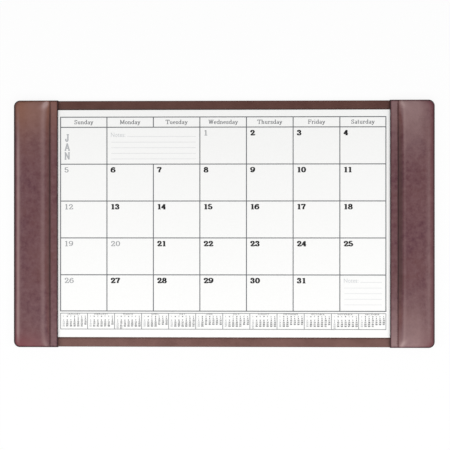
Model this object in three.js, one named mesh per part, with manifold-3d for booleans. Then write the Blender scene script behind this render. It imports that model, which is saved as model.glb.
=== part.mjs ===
import * as THREE from "three";
import { mergeVertices } from "three/addons/utils/BufferGeometryUtils.js";
import Module from "manifold-3d";

// Desk pad calendar. A stiff board, leather covered on top and felt covered
// underneath, carries a padded leather rail at each end. A stack of large
// printed month sheets lies on the board and slides under both rails.
// Millimetres, +Z up, origin under the middle of the pad, +Y to the sheet's head.

// Calendar: the sheets set the size of the pad that holds them
const sheetWidth = 762;
const sheetDepth = 467;
const sheetOffsetY = 0.6;
const sheetStackThickness = 1.6;
const backingThickness = 0.8;

// Gaps: a line of glue between flat layers, and the play of a piece in its wrap
const glueLine = 0.1;
const wrapPlay = 0.3;

// Base
const stripDepth = 20.5;
const cornerRadius = 12.5;
const feltThickness = 1.0;
const feltMargin = 5;
const boardThickness = 3.0;
const coverThickness = 0.6;
const coverTurnIn = 14;

// Rails
const railWidth = 91;
const leatherThickness = 1.0;
const leatherTurnIn = 15;
const pocketHeight = 3.0;
const pocketSidePlay = 3;
const pocketEndPlay = 4;
const sideSpacerWidth = 46.7;
const spacerSetback = 2;
const innerFoldWidth = 13;
const liningThickness = 0.8;
const stiffenerThickness = 1.2;
const stiffenerInset = 4;
const stiffenerCornerRadius = 14;
const bandWidth = 15.5;
const paddingRise = 3.8;
const outerShoulder = 15;
const endShoulder = 13;
const leftInnerShoulder = 22;
const rightInnerShoulder = 13;
const bandRoll = 2;
const stitchGrooveDepth = 0.5;
const stitchGrooveWidth = 1.6;

// Printing
const inkThickness = 0.1;
const inkGap = 0.02;
const ruleWidth = 1.9;
const yearRuleWidth = 1.2;
const headMargin = 14.5;
const footMargin = 16.3;
const leftMargin = 5.3;
const rightMargin = 8.4;
const headerHeight = 20.9;
const lastColumnTrim = 1.6;
const lastRowTrim = 1.4;
const yearStripGap = 4.6;
const yearStripHeight = 32.6;

// Counts
const weekdays = 7;
const weekRows = 5;
const months = 12;

// Levels, from the desk up
const feltTop = feltThickness;
const wrapBottom = feltTop + glueLine;
const wrapTop = wrapBottom + leatherThickness;
const boardBottom = wrapTop + glueLine;
const boardTop = boardBottom + boardThickness;
const coverBottom = boardTop + glueLine;
const coverTop = coverBottom + coverThickness;
const pocketFloor = coverTop + glueLine;
const backingTop = pocketFloor + backingThickness;
const sheetBottom = backingTop + glueLine;
const sheetTop = sheetBottom + sheetStackThickness;
const pocketRoof = coverTop + pocketHeight;
const liningTop = pocketRoof + liningThickness;
const stiffenerBottom = liningTop + glueLine;
const stiffenerTop = stiffenerBottom + stiffenerThickness;
const bandUnderside = stiffenerTop + glueLine;
const bandTop = bandUnderside + leatherThickness;
const wallTop = stiffenerBottom;

// Plan sizes that follow from the ones above
const wrapInset = leatherThickness + wrapPlay;
const halfWidth = sheetWidth / 2 + pocketSidePlay + sideSpacerWidth + wrapInset;
const halfDepth = sheetDepth / 2 + stripDepth;
const railInnerX = halfWidth - railWidth;
const arcSteps = 6;

const wasm = await Module();
wasm.setup();

// Colours and finishes
const finishes = {
  leather: { color: 0x6a4544, roughness: 0.45, metalness: 0 },
  cover: { color: 0x66443e, roughness: 0.5, metalness: 0 },
  felt: { color: 0x2b2220, roughness: 1, metalness: 0 },
  board: { color: 0x6b4a30, roughness: 0.85, metalness: 0 },
  greyboard: { color: 0x9a948a, roughness: 0.95, metalness: 0 },
  foam: { color: 0xd8d2c2, roughness: 1, metalness: 0 },
  lining: { color: 0x3a2623, roughness: 0.8, metalness: 0 },
  paper: { color: 0xf6f6f4, roughness: 0.9, metalness: 0 },
  ink: { color: 0x808386, roughness: 0.8, metalness: 0 },
};

function finish(name) {
  return new THREE.MeshStandardMaterial({ name, ...finishes[name] });
}

// A closed geometry as a solid that can be joined and cut.
function solidOf(geometry) {
  const bare = new THREE.BufferGeometry();
  bare.setAttribute("position", geometry.getAttribute("position"));
  bare.setIndex(geometry.getIndex());
  const merged = mergeVertices(bare, 1e-4);
  return new wasm.Manifold(
    new wasm.Mesh({
      numProp: 3,
      vertProperties: new Float32Array(merged.getAttribute("position").array),
      triVerts: new Uint32Array(merged.getIndex().array),
    }),
  );
}

function geometryOf(solid) {
  const made = solid.getMesh();
  const geometry = new THREE.BufferGeometry();
  geometry.setAttribute(
    "position",
    new THREE.BufferAttribute(new Float32Array(made.vertProperties), 3),
  );
  geometry.setIndex(new THREE.BufferAttribute(new Uint32Array(made.triVerts), 1));
  geometry.computeVertexNormals();
  return geometry;
}

function piece(name, geometry, finishName) {
  const mesh = new THREE.Mesh(geometry, finish(finishName));
  mesh.name = name;
  return mesh;
}

// A block between two corners.
function block(x0, x1, y0, y1, z0, z1) {
  const geometry = new THREE.BoxGeometry(x1 - x0, y1 - y0, z1 - z0);
  geometry.translate((x0 + x1) / 2, (y0 + y1) / 2, (z0 + z1) / 2);
  return geometry;
}

// A plate with two corners rounded at its high-X end, and two at its low-X end.
function plate(x0, x1, halfY, z0, z1, highRadius, lowRadius) {
  const outline = new THREE.Shape();
  outline.moveTo(x0 + lowRadius, -halfY);
  outline.lineTo(x1 - highRadius, -halfY);
  if (highRadius > 0)
    outline.absarc(x1 - highRadius, -halfY + highRadius, highRadius, -Math.PI / 2, 0);
  outline.lineTo(x1, halfY - highRadius);
  if (highRadius > 0)
    outline.absarc(x1 - highRadius, halfY - highRadius, highRadius, 0, Math.PI / 2);
  outline.lineTo(x0 + lowRadius, halfY);
  if (lowRadius > 0)
    outline.absarc(x0 + lowRadius, halfY - lowRadius, lowRadius, Math.PI / 2, Math.PI);
  outline.lineTo(x0, -halfY + lowRadius);
  if (lowRadius > 0)
    outline.absarc(x0 + lowRadius, -halfY + lowRadius, lowRadius, Math.PI, Math.PI * 1.5);
  const geometry = new THREE.ExtrudeGeometry(outline, {
    depth: z1 - z0,
    bevelEnabled: false,
    curveSegments: arcSteps,
  });
  geometry.translate(0, 0, z0);
  return geometry;
}

// Base board: hardboard, its edges wrapped by the cover and by the rails' leather.
const boardHalfWidth = halfWidth - wrapInset;
const boardHalfDepth = halfDepth - wrapInset;
const boardRadius = cornerRadius - wrapInset;

function baseBoard() {
  return plate(
    -boardHalfWidth,
    boardHalfWidth,
    boardHalfDepth,
    boardBottom,
    boardTop,
    boardRadius,
    boardRadius,
  );
}

// Base cover: one sheet over the top of the board. Between the rails it also
// goes round the front and back edges and is turned in underneath.
function baseCover() {
  const top = solidOf(
    plate(
      -boardHalfWidth,
      boardHalfWidth,
      boardHalfDepth,
      coverBottom,
      coverTop,
      boardRadius,
      boardRadius,
    ),
  );
  const wrapHalf = railInnerX - wrapPlay;
  const innerY = boardHalfDepth + glueLine;
  const outerY = innerY + coverThickness;
  const turnInTop = boardBottom - glueLine;
  const section = new THREE.Shape();
  section.moveTo(outerY - coverTurnIn, turnInTop - coverThickness);
  section.lineTo(outerY, turnInTop - coverThickness);
  section.lineTo(outerY, coverTop);
  section.lineTo(boardHalfDepth - coverTurnIn, coverTop);
  section.lineTo(boardHalfDepth - coverTurnIn, coverBottom);
  section.lineTo(innerY, coverBottom);
  section.lineTo(innerY, turnInTop);
  section.lineTo(outerY - coverTurnIn, turnInTop);
  section.closePath();
  const wrap = new THREE.ExtrudeGeometry(section, {
    depth: 2 * wrapHalf,
    bevelEnabled: false,
  });
  wrap.rotateX(Math.PI / 2);
  wrap.rotateZ(Math.PI / 2);
  wrap.translate(-wrapHalf, 0, 0);
  const back = solidOf(wrap);
  const front = back.mirror([0, 1, 0]);
  return geometryOf(top.add(back).add(front));
}

// Felt backing: thinner where it runs over the turned-in edges, and full
// thickness inside them, where it is stuck to the board.
function feltBacking() {
  const overTurnIns = solidOf(
    plate(
      feltMargin - halfWidth,
      halfWidth - feltMargin,
      halfDepth - feltMargin,
      0,
      feltTop,
      cornerRadius - feltMargin,
      cornerRadius - feltMargin,
    ),
  );
  const inside = leatherTurnIn + wrapPlay;
  const middle = solidOf(
    block(
      inside - halfWidth,
      halfWidth - inside,
      inside - halfDepth,
      halfDepth - inside,
      feltTop / 2,
      boardBottom - glueLine,
    ),
  );
  return geometryOf(overTurnIns.add(middle));
}

// Calendar: the month sheets, one stack, on a backing card of the same size.
function calendarLayer(z0, z1) {
  return block(
    -sheetWidth / 2,
    sheetWidth / 2,
    sheetOffsetY - sheetDepth / 2,
    sheetOffsetY + sheetDepth / 2,
    z0,
    z1,
  );
}

// A ruled table: a frame and its inner lines in one, with an opening per cell.
function ruledTable(cells, width) {
  const half = width / 2;
  const low = (key) => Math.min(...cells.map((cell) => cell[key]));
  const high = (key) => Math.max(...cells.map((cell) => cell[key]));
  const z0 = sheetTop + inkGap;
  const z1 = z0 + inkThickness;
  const whole = solidOf(
    block(low("x0") - half, high("x1") + half, low("y0") - half, high("y1") + half, z0, z1),
  );
  const openings = cells.map(({ x0, x1, y0, y1 }) =>
    solidOf(block(x0 + half, x1 - half, y0 + half, y1 - half, 0, z1 + inkThickness)),
  );
  return geometryOf(openings.reduce((table, opening) => table.subtract(opening), whole));
}

// Month grid: a row of weekday headings over five rows of days. A notes box
// takes the place of Monday and Tuesday in the first row.
const gridLeft = leftMargin - railInnerX;
const gridWidth = 2 * railInnerX - leftMargin - rightMargin;
const columnWidth = (gridWidth + lastColumnTrim) / weekdays;
const gridTop = sheetOffsetY + sheetDepth / 2 - headMargin;
const yearStripBottom = sheetOffsetY - sheetDepth / 2 + footMargin;
const gridBottom = yearStripBottom + yearStripHeight + yearStripGap;
const rowHeight = (gridTop - headerHeight - gridBottom + lastRowTrim) / weekRows;

function columnX(column) {
  return column < weekdays ? gridLeft + column * columnWidth : gridLeft + gridWidth;
}

function rowY(row) {
  return row < weekRows ? gridTop - headerHeight - row * rowHeight : gridBottom;
}

function monthGrid() {
  const cells = [];
  for (let column = 0; column < weekdays; column += 1) {
    cells.push({ x0: columnX(column), x1: columnX(column + 1), y0: rowY(0), y1: gridTop });
    for (let row = 0; row < weekRows; row += 1) {
      const isNotesEnd = row === 0 && column === 2;
      const isNotesStart = row === 0 && column === 1;
      if (isNotesEnd) continue;
      cells.push({
        x0: columnX(column),
        x1: columnX(column + (isNotesStart ? 2 : 1)),
        y0: rowY(row + 1),
        y1: rowY(row),
      });
    }
  }
  return ruledTable(cells, ruleWidth);
}

// Year strip: a box for each month of the year, under the month grid.
function yearStrip() {
  const boxWidth = gridWidth / months;
  const cells = [];
  for (let month = 0; month < months; month += 1)
    cells.push({
      x0: gridLeft + month * boxWidth,
      x1: gridLeft + (month + 1) * boxWidth,
      y0: yearStripBottom,
      y1: yearStripBottom + yearStripHeight,
    });
  return ruledTable(cells, yearRuleWidth);
}

// Rails. Each is drawn for the right-hand end, with "across" counted outwards
// from the rail's inner edge, and the left one is the same seen in a mirror.

// How far a rounded shoulder has risen, 0 to 1, at a share of its width.
function shoulderRise(share) {
  const left = 1 - Math.min(Math.max(share, 0), 1);
  return Math.sqrt(1 - left * left);
}

// Distances from an edge that give a rounded shoulder even facets.
function shoulderStations(width) {
  return Array.from({ length: arcSteps + 1 }, (_, k) => {
    const angle = (Math.PI / 2) * (1 - k / arcSteps);
    return width * (1 - Math.sin(angle));
  });
}

function sortedStations(distances, least) {
  const sorted = [...distances].sort((a, b) => a - b);
  return sorted.filter((d, i) => i === 0 || d - sorted[i - 1] > least);
}

// Where a rail's rounded outline lies at a distance along it from the middle.
function outlineAcross(along, inset) {
  const radius = cornerRadius - inset;
  const past = Math.abs(along) - (halfDepth - cornerRadius);
  const reach = past > 0 ? Math.sqrt(Math.max(radius * radius - past * past, 0)) : radius;
  return railWidth - cornerRadius + reach;
}

function outlineAlong(across, inset) {
  const radius = cornerRadius - inset;
  const past = across - (railWidth - cornerRadius);
  const reach = past > 0 ? Math.sqrt(Math.max(radius * radius - past * past, 0)) : radius;
  return halfDepth - cornerRadius + reach;
}

// Height of a rail's leather over a point: its flat inner band, its padded part
// and the shoulders where it falls to the outer edge and to the two ends.
function railHeight(across, along, innerShoulder, inset) {
  const padded = shoulderRise((across - bandWidth) / innerShoulder);
  const endWidth = bandRoll + (endShoulder - bandRoll) * padded;
  const toOuter = outlineAcross(along, inset) - across;
  const toEnd = outlineAlong(across, inset) - Math.abs(along);
  const crown = bandTop - wallTop + paddingRise * padded;
  const fall = shoulderRise(toOuter / outerShoulder) * shoulderRise(toEnd / endWidth);
  return wallTop - inset + crown * fall;
}

// A solid whose top follows the rail's leather, inset by a thickness all round.
function railForm(innerShoulder, inset, from, bottom, addOns) {
  const outer = sortedStations(shoulderStations(outerShoulder), 0.01);
  const rising = shoulderStations(innerShoulder).map((d) => bandWidth + d);
  const inner = sortedStations([from, ...addOns.stations, ...rising], 0.05);
  const ends = sortedStations(
    [
      ...shoulderStations(endShoulder),
      ...shoulderStations(bandRoll).slice(2),
      ...shoulderStations(cornerRadius - inset),
    ],
    0.25,
  );
  const rows = [
    ...ends.map((d) => inset + d - halfDepth),
    ...[...ends].reverse().map((d) => halfDepth - inset - d),
  ];
  const columns = inner.length + outer.length;
  const geometry = new THREE.BoxGeometry(1, 1, 1, columns - 1, rows.length - 1, 1);
  const position = geometry.getAttribute("position");
  for (let i = 0; i < position.count; i += 1) {
    const column = Math.round((position.getX(i) + 0.5) * (columns - 1));
    const along = rows[Math.round((position.getY(i) + 0.5) * (rows.length - 1))];
    const isInner = column < inner.length;
    const across = isInner
      ? inner[column]
      : outlineAcross(along, inset) - outer[columns - 1 - column];
    const height = railHeight(across, along, innerShoulder, inset) - addOns.dip(across);
    const z = position.getZ(i) > 0 ? Math.max(height, bottom + glueLine) : bottom;
    position.setXYZ(i, railInnerX + across, along, z);
  }
  return solidOf(geometry);
}

const noAddOns = { stations: [], dip: () => 0 };

// On the outside, the leather rolls over its inner edge and is pulled down
// along the row of stitches.
const outsideAddOns = {
  stations: [
    ...shoulderStations(leatherThickness).slice(1),
    bandWidth - stitchGrooveWidth,
    bandWidth + stitchGrooveWidth,
  ],
  dip: (across) => {
    const roll = leatherThickness * (1 - shoulderRise(across / leatherThickness));
    const off = Math.abs(across - bandWidth) / stitchGrooveWidth;
    return roll + stitchGrooveDepth * Math.max(1 - off, 0);
  },
};

// Rail leather: one piece over the padding, folded under at its inner edge and
// wrapped round the pad's outer edge and both ends to the underside.
function railLeather(innerShoulder) {
  const outside = railForm(innerShoulder, 0, 0, wrapBottom, outsideAddOns);
  const chamber = railForm(
    innerShoulder,
    leatherThickness,
    leatherThickness,
    liningTop,
    noAddOns,
  );
  const wallX = halfWidth - leatherThickness;
  const wallY = halfDepth - leatherThickness;
  const radius = cornerRadius - leatherThickness;
  const openX = railInnerX - leatherTurnIn;
  const pocket = solidOf(plate(openX, wallX, wallY, wrapTop, pocketRoof, radius, 0));
  const aboveFold = solidOf(
    plate(
      railInnerX + innerFoldWidth,
      wallX,
      wallY,
      pocketRoof - glueLine,
      stiffenerBottom,
      radius,
      0,
    ),
  );
  const underside = solidOf(
    block(
      openX,
      halfWidth - leatherTurnIn,
      leatherTurnIn - halfDepth,
      halfDepth - leatherTurnIn,
      0,
      boardBottom,
    ),
  );
  return geometryOf(
    outside.subtract(chamber).subtract(pocket).subtract(aboveFold).subtract(underside),
  );
}

// Rail padding: foam between the stiffener and the leather.
function railPadding(innerShoulder) {
  const inset = leatherThickness + wrapPlay;
  const form = railForm(innerShoulder, inset, bandWidth, liningTop, noAddOns);
  const below = solidOf(
    block(0, halfWidth, -halfDepth, halfDepth, 0, stiffenerTop + glueLine),
  );
  return geometryOf(form.subtract(below));
}

// Rail stiffener: a card under the whole width of the rail.
function railStiffener() {
  return plate(
    railInnerX + wrapInset,
    halfWidth - stiffenerInset,
    halfDepth - stiffenerInset,
    stiffenerBottom,
    stiffenerTop,
    stiffenerCornerRadius,
    0,
  );
}

// Rail lining: covers the stiffener's underside from the leather's fold outwards.
function railLining() {
  return plate(
    railInnerX + innerFoldWidth + wrapPlay,
    halfWidth - stiffenerInset,
    halfDepth - stiffenerInset,
    pocketRoof,
    liningTop,
    stiffenerCornerRadius,
    0,
  );
}

// Rail spacers: strips of card that hold the rail off the board and so form
// the pocket, one along the outer edge and a short one at each end.
const spacerTop = pocketRoof - glueLine;
const sideSpacerX = boardHalfWidth - sideSpacerWidth;
const endSpacerY = sheetDepth / 2 + Math.abs(sheetOffsetY) + pocketEndPlay;

function sideSpacer() {
  return plate(
    sideSpacerX,
    boardHalfWidth,
    boardHalfDepth,
    pocketFloor,
    spacerTop,
    boardRadius,
    0,
  );
}

function endSpacer(end) {
  return block(
    railInnerX + spacerSetback,
    sideSpacerX - glueLine,
    end > 0 ? endSpacerY : -boardHalfDepth,
    end > 0 ? boardHalfDepth : -endSpacerY,
    pocketFloor,
    spacerTop,
  );
}

function rail(side, innerShoulder) {
  const group = new THREE.Group();
  group.add(
    piece(`${side}_rail_leather`, railLeather(innerShoulder), "leather"),
    piece(`${side}_rail_padding`, railPadding(innerShoulder), "foam"),
    piece(`${side}_rail_stiffener`, railStiffener(), "greyboard"),
    piece(`${side}_rail_lining`, railLining(), "lining"),
    piece(`${side}_rail_side_spacer`, sideSpacer(), "greyboard"),
    piece(`${side}_rail_front_spacer`, endSpacer(-1), "greyboard"),
    piece(`${side}_rail_back_spacer`, endSpacer(1), "greyboard"),
  );
  if (side === "left") group.scale.x = -1;
  return group;
}

const deskPad = new THREE.Group();
deskPad.add(
  piece("felt_backing", feltBacking(), "felt"),
  piece("base_board", baseBoard(), "board"),
  piece("base_cover", baseCover(), "cover"),
  piece("calendar_backing_card", calendarLayer(pocketFloor, backingTop), "greyboard"),
  piece("calendar_sheets", calendarLayer(sheetBottom, sheetTop), "paper"),
  piece("printed_month_grid", monthGrid(), "ink"),
  piece("printed_year_strip", yearStrip(), "ink"),
  rail("left", leftInnerShoulder),
  rail("right", rightInnerShoulder),
);

export default deskPad;
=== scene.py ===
from math import copysign, cos, exp, hypot, pi, radians, sin, sqrt

import bmesh
import bpy
from mathutils import Euler, Matrix, Vector, geometry, noise


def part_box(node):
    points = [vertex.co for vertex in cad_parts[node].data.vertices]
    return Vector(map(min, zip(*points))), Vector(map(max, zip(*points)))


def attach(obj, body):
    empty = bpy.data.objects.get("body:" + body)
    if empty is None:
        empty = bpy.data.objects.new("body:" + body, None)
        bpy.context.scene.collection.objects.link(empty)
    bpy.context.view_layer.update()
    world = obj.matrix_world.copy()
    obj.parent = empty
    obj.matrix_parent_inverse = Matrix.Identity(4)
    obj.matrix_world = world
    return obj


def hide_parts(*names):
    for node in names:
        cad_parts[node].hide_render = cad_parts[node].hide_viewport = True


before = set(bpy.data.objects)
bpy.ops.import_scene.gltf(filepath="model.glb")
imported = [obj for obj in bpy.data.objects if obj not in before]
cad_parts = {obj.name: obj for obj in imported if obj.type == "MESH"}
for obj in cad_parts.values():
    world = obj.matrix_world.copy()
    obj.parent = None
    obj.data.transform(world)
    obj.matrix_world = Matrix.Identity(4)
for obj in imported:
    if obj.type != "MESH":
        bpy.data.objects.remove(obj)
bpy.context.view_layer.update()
mm = 0.001

# Camera: the picture is taken from above, by a camera a little over two metres
# up that leans about one degree to the right, so the right rail looks larger.
camera_distance = 2.2
camera_lean = radians(1.15)
view_width = 0.9253
aim = Vector((0.0030, -0.0024, 0.006))

camera_data = bpy.data.cameras.new("camera")
camera_data.sensor_width = 36
camera_data.lens = camera_data.sensor_width * camera_distance / view_width
camera_data.clip_end = 20
camera = bpy.data.objects.new("camera", camera_data)
camera.rotation_euler = Euler((0, camera_lean, 0))
camera.location = aim + camera_distance * Vector((sin(camera_lean), 0, cos(camera_lean)))
bpy.context.scene.collection.objects.link(camera)
bpy.context.scene.camera = camera

# Light: a soft box at each end of the desk and a broader one in front of it,
# all above the pad, in a pale room.
soft_boxes = {
    "left_light": ((-1.25, -0.35, 1.25), (0.5, 1.5), 8.6),
    "right_light": ((1.25, -0.35, 1.25), (0.5, 1.5), 8.6),
    "front_light": ((0.0, -1.5, 1.35), (1.9, 0.5), 10.5),
}
for name, (place, (width, depth), power) in soft_boxes.items():
    light_data = bpy.data.lights.new(name, "AREA")
    light_data.shape = "RECTANGLE"
    light_data.size = width
    light_data.size_y = depth
    light_data.energy = power
    light = bpy.data.objects.new(name, light_data)
    light.location = place
    light.rotation_euler = (-Vector(place)).to_track_quat("-Z", "Y").to_euler()
    bpy.context.scene.collection.objects.link(light)


def seen_directly(tree):
    """1 for a ray from the camera, a reflection or through something clear, and otherwise 0."""
    ray = tree.nodes.new("ShaderNodeLightPath")
    total = ray.outputs["Is Camera Ray"]
    for kind in ("Is Glossy Ray", "Is Transmission Ray"):
        both = tree.nodes.new("ShaderNodeMath")
        both.operation = "ADD"
        both.use_clamp = True
        tree.links.new(total, both.inputs[0])
        tree.links.new(ray.outputs[kind], both.inputs[1])
        total = both.outputs[0]
    return total


room_level = 0.5
room = bpy.data.worlds.new("room")
bpy.context.scene.world = room
room.use_nodes = True
background = room.node_tree.nodes["Background"]
background.inputs["Color"].default_value = (1, 1, 1, 1)
level = room.node_tree.nodes.new("ShaderNodeMapRange")
level.inputs["To Min"].default_value = room_level
level.inputs["To Max"].default_value = 1.0
room.node_tree.links.new(seen_directly(room.node_tree), level.inputs["Value"])
room.node_tree.links.new(level.outputs["Result"], background.inputs["Strength"])

# Floor: the white sheet that the pad is photographed on. It shows as white to
# the camera and in reflections, with the pad's own faint shadow left on it. It
# is open under the pad, so that the felt can be seen from below.
floor_size = 12.0
open_under = Vector((0.427, 0.249))
floor_level = -0.4 * mm
whiteness = 0.9
floor_bm = bmesh.new()
bmesh.ops.create_grid(floor_bm, x_segments=3, y_segments=3, size=floor_size / 2)
for vert in floor_bm.verts:
    for axis in (0, 1):
        if abs(vert.co[axis]) < floor_size / 4:
            vert.co[axis] = copysign(open_under[axis], vert.co[axis])
middle = [face for face in floor_bm.faces if face.calc_center_median().length < 0.1]
bmesh.ops.delete(floor_bm, geom=middle, context="FACES_ONLY")
bmesh.ops.translate(floor_bm, vec=(0, 0, floor_level), verts=floor_bm.verts)

floor_material = bpy.data.materials.new("white_floor")
floor_material.use_nodes = True
floor_tree = floor_material.node_tree
floor_tree.nodes.clear()
floor_output = floor_tree.nodes.new("ShaderNodeOutputMaterial")
paint = floor_tree.nodes.new("ShaderNodeBsdfDiffuse")
paint.inputs["Color"].default_value = (0.95, 0.95, 0.95, 1)
glow = floor_tree.nodes.new("ShaderNodeEmission")
paint_and_glow = floor_tree.nodes.new("ShaderNodeMixShader")
glow_share = floor_tree.nodes.new("ShaderNodeMath")
glow_share.operation = "MULTIPLY"
glow_share.inputs[1].default_value = whiteness
for output, socket in (
    (seen_directly(floor_tree), glow_share.inputs[0]),
    (glow_share.outputs[0], paint_and_glow.inputs["Fac"]),
    (paint.outputs[0], paint_and_glow.inputs[1]),
    (glow.outputs[0], paint_and_glow.inputs[2]),
    (paint_and_glow.outputs[0], floor_output.inputs["Surface"]),
):
    floor_tree.links.new(output, socket)


def make_piece(name, shape, material):
    """Turns a finished bmesh into an object, in the place where it was shaped."""
    mesh = bpy.data.meshes.new(name)
    shape.to_mesh(mesh)
    shape.free()
    mesh.materials.append(material)
    piece = bpy.data.objects.new(name, mesh)
    bpy.context.scene.collection.objects.link(piece)
    return piece


make_piece("floor", floor_bm, floor_material)

# Felt backing: dark brown wool felt glued under the board, its nap a mat of
# short fibres. The base board is pressed fibre, seen only where it is cut.


def colour(red, green, blue):
    """A colour as a colour picker shows it, 0 to 255, for a shader socket."""
    shares = (v / 255 for v in (red, green, blue))
    return [s / 12.92 if s <= 0.04045 else ((s + 0.055) / 1.055) ** 2.4 for s in shares] + [1.0]


def start_material(name, roughness, specular):
    material = bpy.data.materials.new(name)
    material.use_nodes = True
    shader = material.node_tree.nodes["Principled BSDF"]
    shader.inputs["Roughness"].default_value = roughness
    shader.inputs["Specular IOR Level"].default_value = specular
    return material, shader


def add_node(material, kind, inputs=(), **settings):
    """A new node, with its sockets set from values or joined to other nodes' outputs."""
    node = material.node_tree.nodes.new(kind)
    for key, value in settings.items():
        setattr(node, key, value)
    for key, value in dict(inputs).items():
        if isinstance(value, bpy.types.NodeSocket):
            material.node_tree.links.new(value, node.inputs[key])
        else:
            node.inputs[key].default_value = value
    return node


def pattern(material, kind, scale, **values):
    """A noise or cell texture on the piece's own coordinates, scale in cells to the metre."""
    place = add_node(material, "ShaderNodeTexCoord")
    inputs = {"Vector": place.outputs["Object"], "Scale": scale, **values}
    return add_node(material, kind, inputs)


def two_tone(material, factor, low, high, low_at=0.35, high_at=0.65):
    ramp = add_node(material, "ShaderNodeValToRGB", {"Fac": factor})
    ramp.color_ramp.elements[0].position = low_at
    ramp.color_ramp.elements[0].color = low
    ramp.color_ramp.elements[1].position = high_at
    ramp.color_ramp.elements[1].color = high
    return ramp.outputs["Color"]


def blend_colours(material, factor, first, second):
    mix = add_node(material, "ShaderNodeMix", data_type="RGBA")
    material.node_tree.links.new(factor, mix.inputs["Factor"])
    for socket, value in ((mix.inputs["A"], first), (mix.inputs["B"], second)):
        picked = [s for s in mix.inputs if s.name == socket.name and s.type == "RGBA"][0]
        if isinstance(value, bpy.types.NodeSocket):
            material.node_tree.links.new(value, picked)
        else:
            picked.default_value = value
    return [s for s in mix.outputs if s.type == "RGBA"][0]


def join(material, output, socket):
    material.node_tree.links.new(output, socket)


def spread(material, value, low, high):
    """Maps a pattern's 0 to 1 onto a smaller range."""
    node = add_node(material, "ShaderNodeMapRange", {"Value": value})
    node.inputs["To Min"].default_value = low
    node.inputs["To Max"].default_value = high
    return node.outputs["Result"]


def raise_surface(material, shader, height, distance, strength=1.0):
    """Bumps, on top of any that the shader already has."""
    inputs = {"Height": height, "Distance": distance, "Strength": strength}
    bump = add_node(material, "ShaderNodeBump", inputs)
    links = shader.inputs["Normal"].links
    if links:
        material.node_tree.links.new(links[0].from_socket, bump.inputs["Normal"])
    material.node_tree.links.new(bump.outputs["Normal"], shader.inputs["Normal"])


def dress(node_name, material):
    """Gives a solid of the frame its finish."""
    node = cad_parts[node_name]
    node.data.materials.clear()
    node.data.materials.append(material)


felt, felt_shader = start_material("dark_brown_felt", 0.95, 0.1)
felt_fibres = pattern(felt, "ShaderNodeTexNoise", 1400, Detail=6.0, Roughness=0.7)
felt_clumps = pattern(felt, "ShaderNodeTexNoise", 120, Detail=3.0)
felt_colour = two_tone(felt, felt_fibres.outputs["Fac"], colour(30, 22, 20), colour(58, 45, 41))
felt_worn = blend_colours(felt, spread(felt, felt_clumps.outputs["Fac"], 0, 0.5), felt_colour,
                          colour(50, 38, 35))
join(felt, felt_worn, felt_shader.inputs["Base Color"])
felt_shader.inputs["Sheen Weight"].default_value = 0.35
felt_shader.inputs["Sheen Roughness"].default_value = 0.6
raise_surface(felt, felt_shader, felt_fibres.outputs["Fac"], 0.0006)
raise_surface(felt, felt_shader, felt_clumps.outputs["Fac"], 0.001, 0.5)
dress("felt_backing", felt)

board, board_shader = start_material("pressed_fibreboard", 0.8, 0.2)
board_fibres = pattern(board, "ShaderNodeTexNoise", 420, Detail=8.0, Distortion=0.8)
board_colour = two_tone(board, board_fibres.outputs["Fac"], colour(84, 58, 38), colour(126, 92, 62))
join(board, board_colour, board_shader.inputs["Base Color"])
raise_surface(board, board_shader, board_fibres.outputs["Fac"], 0.0003)
dress("base_board", board)

# Base cover: smooth brown leatherette drawn over the board. Between the rails
# it rolls round the board's front and back edges and is glued down underneath.
cover_thickness = 0.6 * mm
lip_radius = 1.9 * mm
lip_steps = 5
cover_columns = 72
cover_turn_in = 14 * mm
cover_low, cover_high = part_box("base_cover")
rail_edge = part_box("right_rail_leather")[0].x
wrap_half = rail_edge - 0.3 * mm
half_round = [pi / 2 * k / lip_steps for k in range(lip_steps + 1)]

# One side of the wrap, from the turned-in edge underneath to the top, as how
# far forward, how high and how far along the pad each line runs.
wrap_lines = [(cover_high.y - cover_turn_in, cover_low.z, wrap_half)]
wrap_lines += [
    (
        cover_high.y - lip_radius * (1 - sin(a)),
        cover_low.z + lip_radius * (1 - cos(a)),
        wrap_half,
    )
    for a in half_round
]
wrap_lines += [
    (
        cover_high.y - lip_radius * (1 - cos(a)),
        cover_high.z - lip_radius * (1 - sin(a)),
        wrap_half,
    )
    for a in half_round
]
wrap_lines += [
    (cover_high.y - d * mm, cover_high.z - drop * mm, cover_high.x - short * mm)
    for d, drop, short in (
        (4, 0, 6), (9, 0, 3), (14, 0, 0), (17.2, 0, 0), (18.0, 0.45, 0), (19.0, 0.5, 0), (19.6, 0, 0),
        (60, 0, 0),
    )
]
cover_rows = [(-y, z, half) for y, z, half in wrap_lines]
cover_rows += [(y, z, half) for y, z, half in reversed(wrap_lines)]

cover_bm = bmesh.new()
shade_layer = cover_bm.verts.layers.float.new("edge_shade")
bmesh.ops.create_grid(
    cover_bm, x_segments=cover_columns, y_segments=len(cover_rows) - 1, size=0.5
)
for vert in cover_bm.verts:
    row_y, row_z, half_length = cover_rows[round((vert.co.y + 0.5) * (len(cover_rows) - 1))]
    along = 2 * vert.co.x
    ripple = noise.noise(Vector((along * 9, row_y * 30, 3.1)))
    vert.co = Vector((along * half_length, row_y, row_z - 0.12 * mm * abs(ripple)))
    from_edge = (cover_high.y - abs(row_y)) / mm
    # Painted shade: darker on the rolled lip, and in a line in the shallow groove beside the sheets' edge,
    # where the paper stack's shadow falls.
    vert[shade_layer] = max(exp(-((from_edge / 1.1) ** 2)), exp(-(((from_edge - 18.6) / 0.9) ** 2)))


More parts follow.
